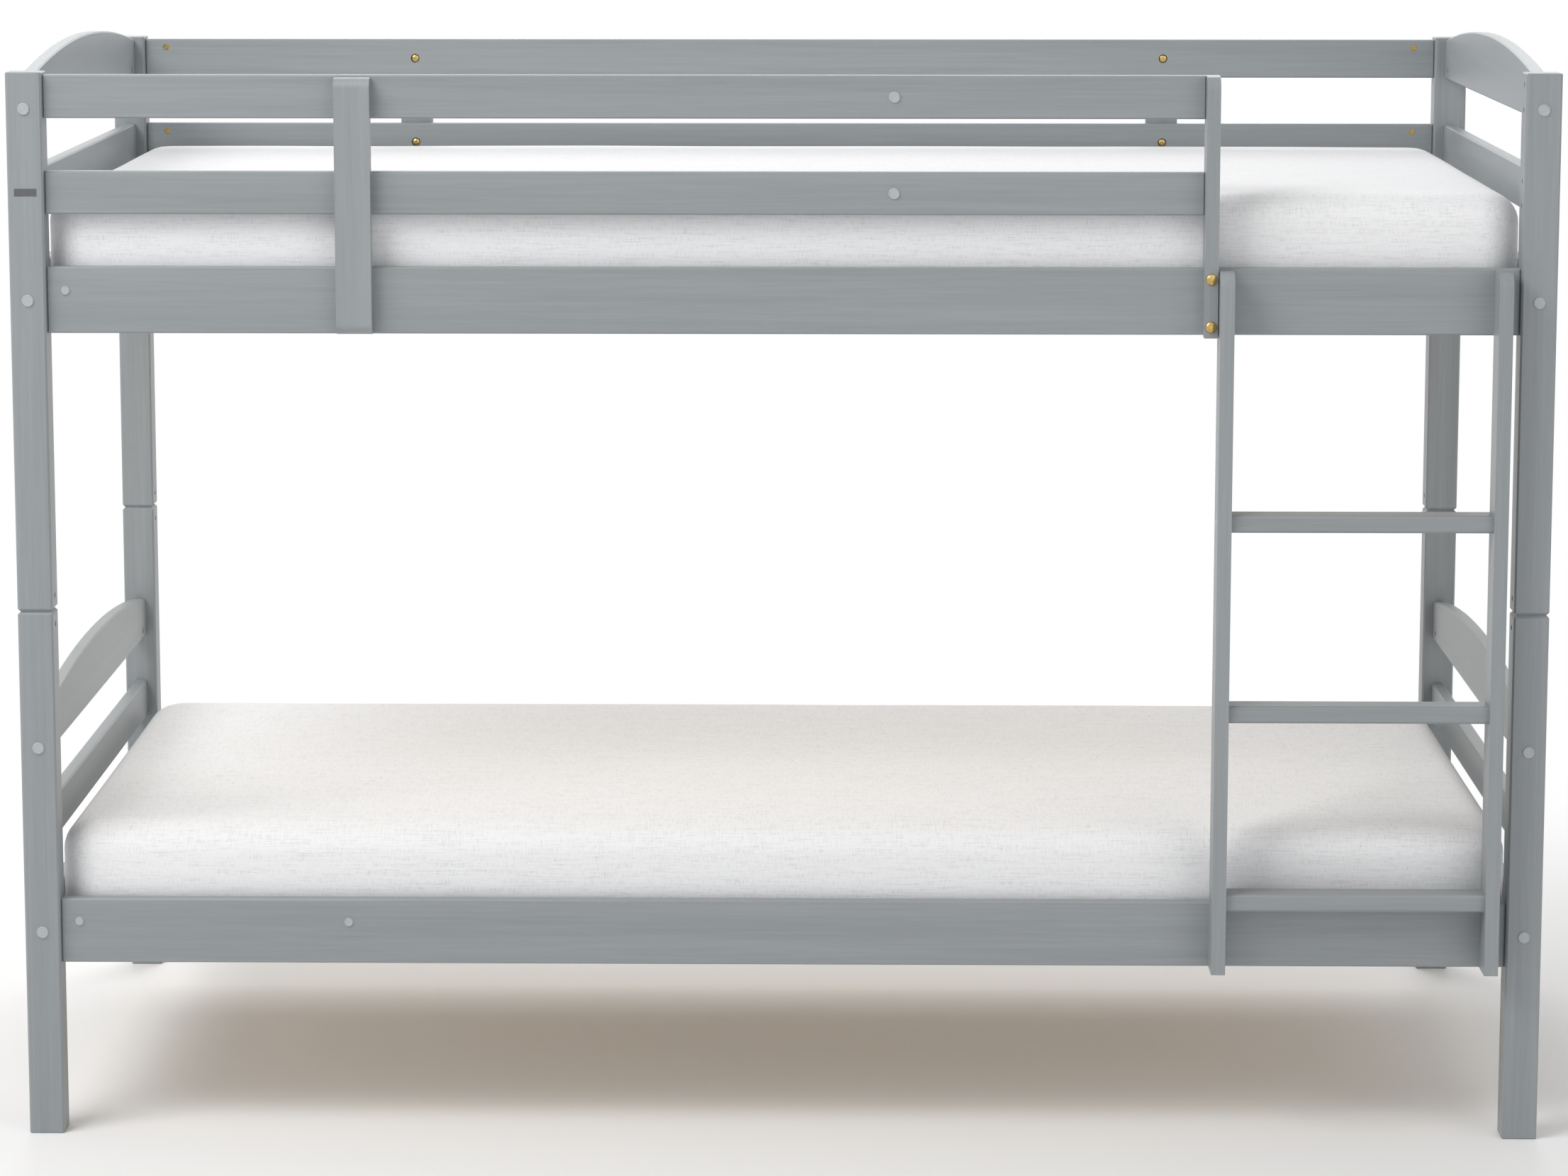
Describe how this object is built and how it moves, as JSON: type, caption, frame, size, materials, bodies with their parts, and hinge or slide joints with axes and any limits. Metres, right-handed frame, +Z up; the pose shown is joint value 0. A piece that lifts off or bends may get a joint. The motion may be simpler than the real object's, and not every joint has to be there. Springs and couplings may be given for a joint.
{
  "type": "bunk bed",
  "caption": "Bunk bed in painted solid wood on split posts, with a front ladder, guard rails and mattresses.",
  "frame": {"origin": "on the floor under the middle of the whole bed, with the ladder and the rear braces", "axes": "+X along the bed towards the ladder end, +Y from the ladder side to the rear, +Z up"},
  "size_m": [2.078, 1.007, 1.4909],
  "materials": {
    "grey_paint": "semi-gloss paint, brushed along the grain",
    "mattress_cover": "white slub weave",
    "golden_steel": "yellow zinc",
    "grey_plastic": "satin",
    "bare_wood": "planed pine",
    "dark_mark": "matt"
  },
  "bodies": {
    "bed": {"barrel_nuts": "golden_steel", "brace_bolts": "golden_steel", "dowels": "bare_wood", "end_panel_bolts": "golden_steel", "front_brace": "grey_paint", "front_lower_guard_rail": "grey_paint", "front_upper_guard_rail": "grey_paint", "guard_rail_bolts": "golden_steel", "guard_rail_caps": "grey_plastic", "guard_upright": "grey_paint", "ladder_bolts": "golden_steel", "ladder_hole_plugs": "grey_plastic", "ladder_rung_1": "grey_paint", "ladder_rung_2": "grey_paint", "ladder_rung_3": "grey_paint", "ladder_stile_left": "grey_paint", "ladder_stile_right": "grey_paint", "lower_front_cleat": "bare_wood", "lower_front_side_rail": "grey_paint", "lower_left_arched_board": "grey_paint", "lower_left_end_rail": "grey_paint", "lower_left_middle_rail": "grey_paint", "lower_post_front_left": "grey_paint", "lower_post_front_right": "grey_paint", "lower_post_rear_left": "grey_paint", "lower_post_rear_right": "grey_paint", "lower_rear_cleat": "bare_wood", "lower_rear_side_rail": "grey_paint", "lower_right_arched_board": "grey_paint", "lower_right_end_rail": "grey_paint", "lower_right_middle_rail": "grey_paint", "lower_slats": "bare_wood", "mattress_height_mark": "dark_mark", "post_caps": "grey_plastic", "post_joint_pins": "golden_steel", "rear_brace_left": "grey_paint", "rear_brace_right": "grey_paint", "rear_lower_guard_rail": "grey_paint", "rear_upper_guard_rail": "grey_paint", "rung_screws": "golden_steel", "side_rail_bolts": "golden_steel", "upper_front_cleat": "bare_wood", "upper_front_side_rail": "grey_paint", "upper_left_arched_board": "grey_paint", "upper_left_end_rail": "grey_paint", "upper_left_middle_rail": "grey_paint", "upper_post_front_left": "grey_paint", "upper_post_front_right": "grey_paint", "upper_post_rear_left": "grey_paint", "upper_post_rear_right": "grey_paint", "upper_rear_cleat": "bare_wood", "upper_rear_side_rail": "grey_paint", "upper_right_arched_board": "grey_paint", "upper_right_end_rail": "grey_paint", "upper_right_middle_rail": "grey_paint", "upper_slats": "bare_wood", "upright_bolts": "golden_steel", "upright_rail_bolts": "golden_steel"},
    "upper_pad": {"upper_mattress": "mattress_cover"},
    "lower_pad": {"lower_mattress": "mattress_cover"}
  },
  "joints": [
    {"name": "upper_mattress_lift", "type": "slide", "parent": "bed", "child": "upper_pad", "axis": [0, 0, 1], "range_m": [0, 0.4]},
    {"name": "lower_mattress_lift", "type": "slide", "parent": "bed", "child": "lower_pad", "axis": [0, 0, 1], "range_m": [0, 0.5]}
  ]
}
